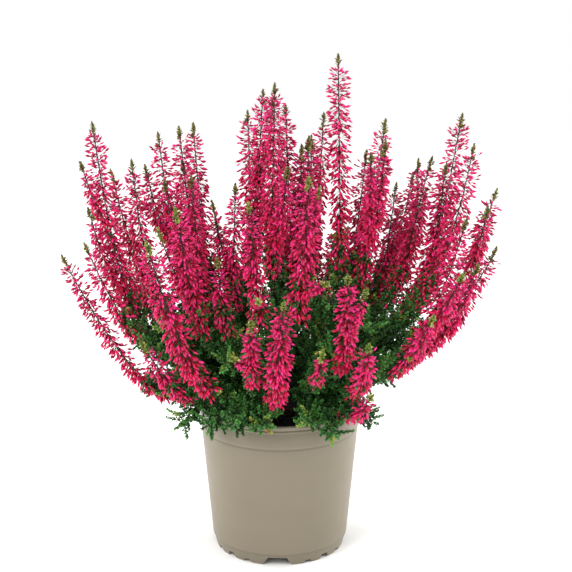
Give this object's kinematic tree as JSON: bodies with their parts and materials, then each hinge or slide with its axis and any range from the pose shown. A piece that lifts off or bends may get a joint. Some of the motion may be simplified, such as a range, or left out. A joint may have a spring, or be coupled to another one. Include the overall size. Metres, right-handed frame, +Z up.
{
  "type": "potted heather",
  "caption": "Bushy heather in full bud in a round plastic nursery pot: upright pink flower spikes over dark green scale-leaved stems.",
  "frame": {"origin": "on the pot's axis, at the level of the pot's foot", "axes": "+Z up the pot's axis, +X to the plant's right and -Y towards its front as it is usually seen"},
  "size_m": [0.297, 0.204, 0.346],
  "materials": {
    "pot": "satin taupe moulded plastic",
    "soil": "moist dark peat crumb",
    "leaf": "small waxy scale leaves on reddish brown twigs",
    "flower": "crimson pink buds with a soft sheen"
  },
  "bodies": {
    "root": {"pot": "pot", "soil": "soil", "leafy_stem_01": "leaf", "leafy_stem_02": "leaf", "leafy_stem_03": "leaf", "leafy_stem_04": "leaf", "leafy_stem_05": "leaf", "leafy_stem_06": "leaf", "leafy_stem_07": "leaf", "flower_spray_01": "flower", "flower_spray_02": "flower", "flower_spray_03": "flower", "flower_spray_04": "flower", "flower_spray_05": "flower", "flower_spray_06": "flower", "flower_spray_07": "flower", "flower_spray_08": "flower", "flower_spray_09": "flower", "flower_spray_10": "flower", "flower_spray_11": "flower", "flower_spray_12": "flower", "flower_spray_13": "flower", "flower_spray_14": "flower", "flower_spray_15": "flower", "flower_spray_16": "flower", "flower_spray_17": "flower", "flower_spray_18": "flower", "flower_spray_19": "flower", "flower_spray_20": "flower", "flower_spray_21": "flower", "flower_spray_22": "flower", "flower_spray_23": "flower", "flower_spray_24": "flower", "flower_spray_25": "flower", "flower_spray_26": "flower", "flower_spray_27": "flower", "flower_spray_28": "flower", "flower_spray_29": "flower", "flower_spray_30": "flower", "flower_spray_31": "flower", "flower_spray_32": "flower", "flower_spray_33": "flower", "flower_spray_34": "flower", "flower_spray_35": "flower", "flower_spray_36": "flower", "flower_spray_37": "flower", "flower_spray_38": "flower", "flower_spray_39": "flower", "flower_spray_40": "flower", "flower_spray_41": "flower", "flower_spray_42": "flower", "flower_spray_43": "flower", "flower_spray_44": "flower", "flower_spray_45": "flower", "flower_spray_46": "flower", "flower_spray_47": "flower", "flower_spray_48": "flower", "flower_spray_49": "flower", "flower_spray_50": "flower"}
  },
  "joints": []
}
